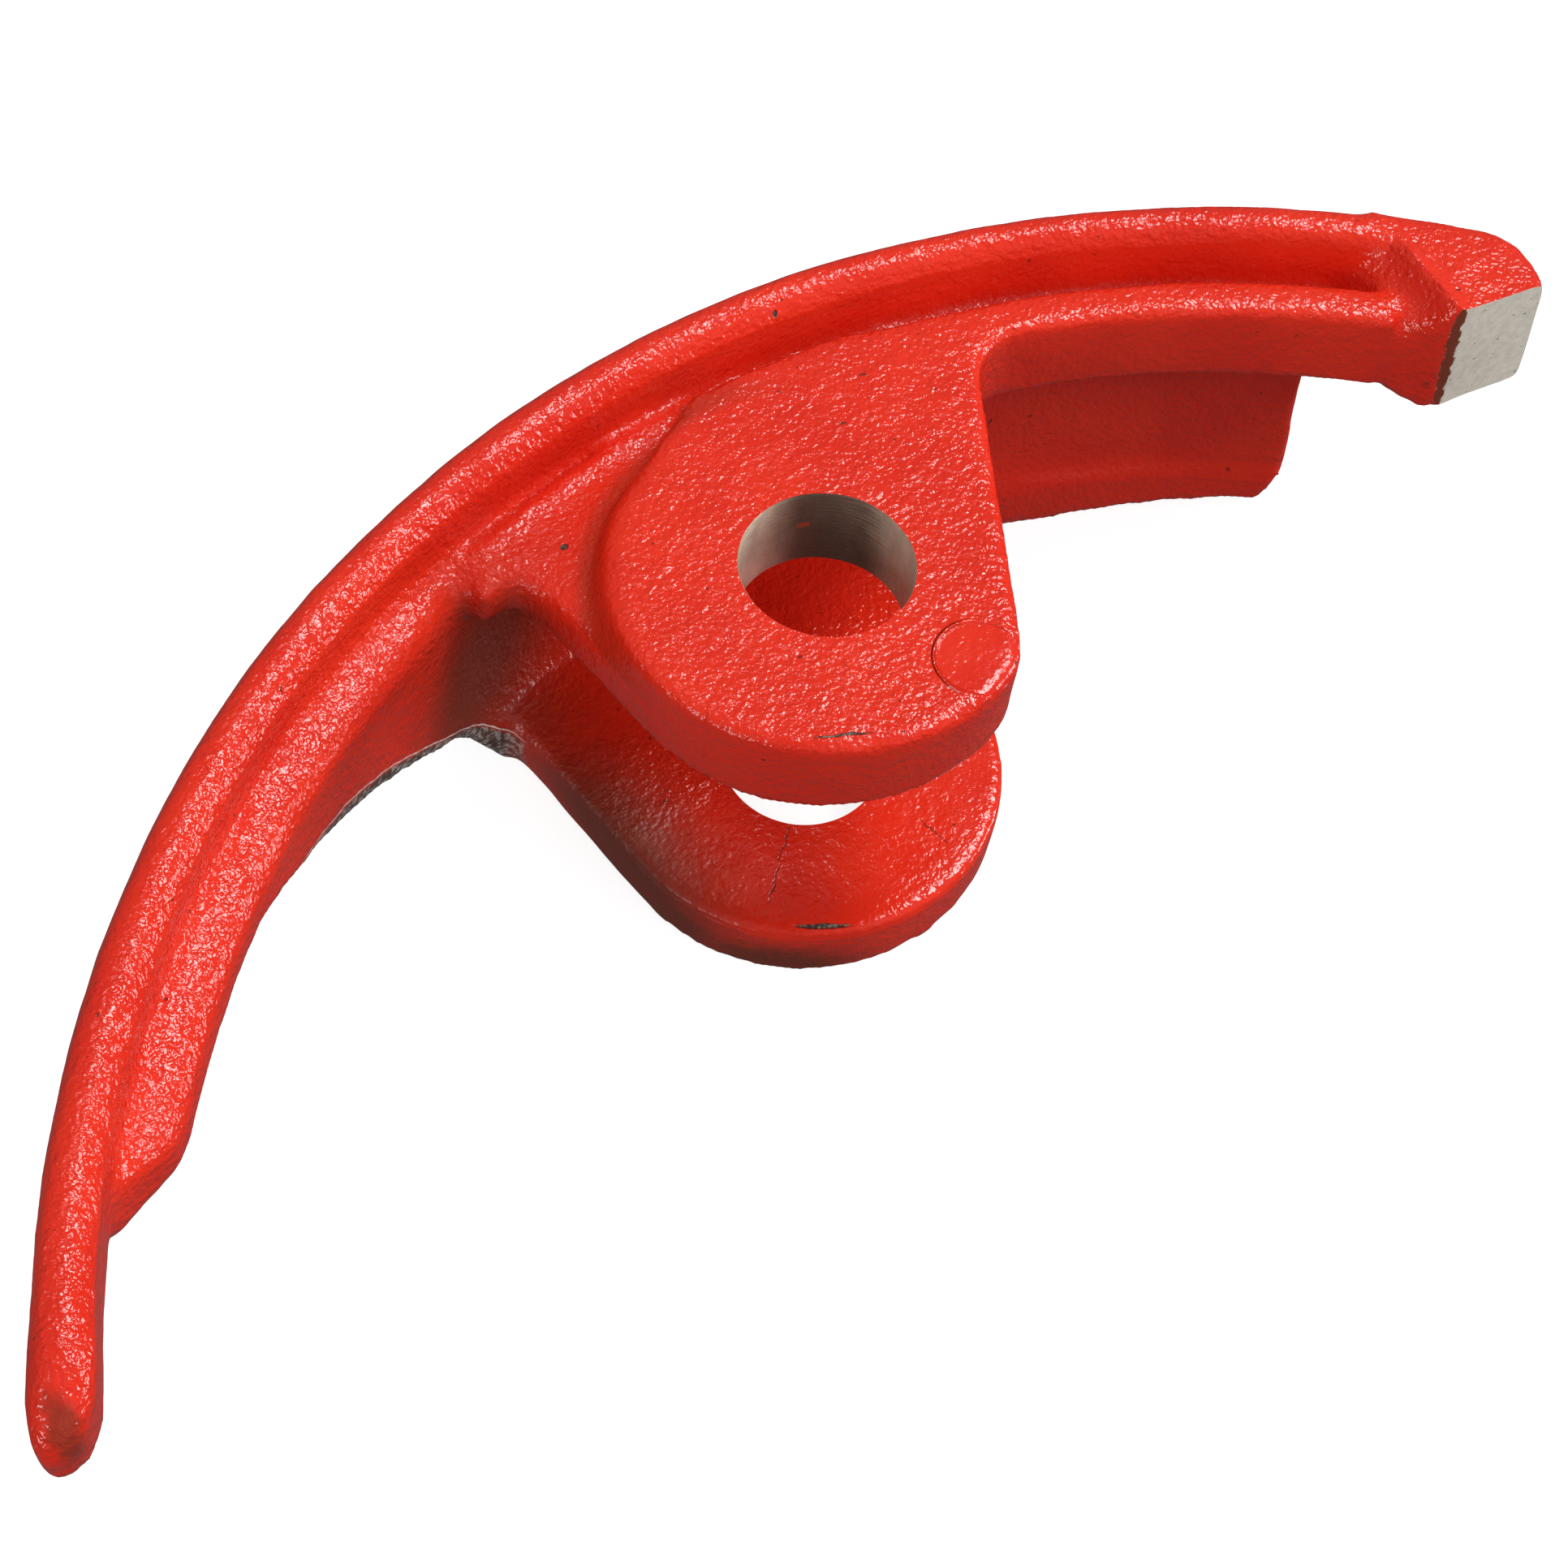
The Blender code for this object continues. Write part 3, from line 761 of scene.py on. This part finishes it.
def build_floor():
    mesh = bpy.data.meshes.new("floor")
    half = FLOOR_HALF_WIDTH
    around = ((-half, -half), (half, -half), (half, half), (-half, half))
    mesh.from_pydata([(x, y, FLOOR_LEVEL) for x, y in around], [], [(0, 1, 2, 3)])
    mesh.materials.append(plain_material("floor", FLOOR_GREY, FLOOR_ROUGHNESS, FLOOR_GLOW))
    floor = bpy.data.objects.new("floor", mesh)
    bpy.context.scene.collection.objects.link(floor)
    floor.visible_diffuse = False
    floor.visible_glossy = False
    return floor


def build_world():
    """Studio surroundings: bright overhead, dim at the horizon and below."""
    world = bpy.data.worlds.new("studio")
    world.use_nodes = True
    tree = world.node_tree
    background = tree.nodes["Background"]
    direction = tree.nodes.new("ShaderNodeTexCoord").outputs["Generated"]
    split = tree.nodes.new("ShaderNodeSeparateXYZ")
    tree.links.new(direction, split.inputs["Vector"])
    tone = tree.nodes.new("ShaderNodeValToRGB")
    shift = tree.nodes.new("ShaderNodeMath")
    shift.operation = "MULTIPLY_ADD"
    shift.inputs[1].default_value = 0.5
    shift.inputs[2].default_value = 0.5
    tree.links.new(split.outputs["Z"], shift.inputs[0])
    tree.links.new(shift.outputs["Value"], tone.inputs["Fac"])
    elements = tone.color_ramp.elements
    while len(elements) < len(SKY):
        elements.new(0.5)
    for element, (place, value) in zip(elements, SKY):
        element.position = place
        element.color = (value, value, value, 1.0)
    tree.links.new(tone.outputs["Color"], background.inputs["Color"])
    background.inputs["Strength"].default_value = 1.0
    bpy.context.scene.world = world


def area_light(name, direction, distance, size, radiance):
    """Square soft light that shines at the casting from that direction."""
    data = bpy.data.lights.new(name, "AREA")
    data.shape = "SQUARE"
    data.size = size
    data.energy = radiance * math.pi * size * size
    item = bpy.data.objects.new(name, data)
    towards = Vector(direction).normalized()
    item.location = LIGHTS_AIM + towards * distance
    item.rotation_mode = "QUATERNION"
    item.rotation_quaternion = towards.to_track_quat("Z", "Y")
    bpy.context.scene.collection.objects.link(item)
    return item


def build_camera():
    """Camera that looks down at the casting, tilted a little about its own line of sight."""
    data = bpy.data.cameras.new("camera")
    data.sensor_width = CAMERA_SENSOR
    data.lens = CAMERA_LENS
    data.clip_start = CAMERA_CLIP
    camera = bpy.data.objects.new("camera", data)
    level = math.cos(CAMERA_ELEVATION)
    back = Vector((level * math.sin(CAMERA_AZIMUTH), -level * math.cos(CAMERA_AZIMUTH),
                   math.sin(CAMERA_ELEVATION)))
    flat_right = Vector((math.cos(CAMERA_AZIMUTH), math.sin(CAMERA_AZIMUTH), 0.0))
    flat_up = back.cross(flat_right)
    right = flat_right * math.cos(CAMERA_ROLL) + flat_up * math.sin(CAMERA_ROLL)
    up = flat_up * math.cos(CAMERA_ROLL) - flat_right * math.sin(CAMERA_ROLL)
    turn = Matrix((right, up, back)).transposed()
    camera.matrix_world = Matrix.Translation(CAMERA_PLACE * MM) @ turn.to_4x4()
    bpy.context.scene.collection.objects.link(camera)
    bpy.context.scene.camera = camera


build_floor()
build_world()
for light_name, light_facts in LIGHTS.items():
    light = area_light(light_name, *light_facts)
    light.visible_glossy = light_name != UNSEEN_IN_GLOSS
build_camera()
bpy.context.scene.view_settings.view_transform = "Standard"
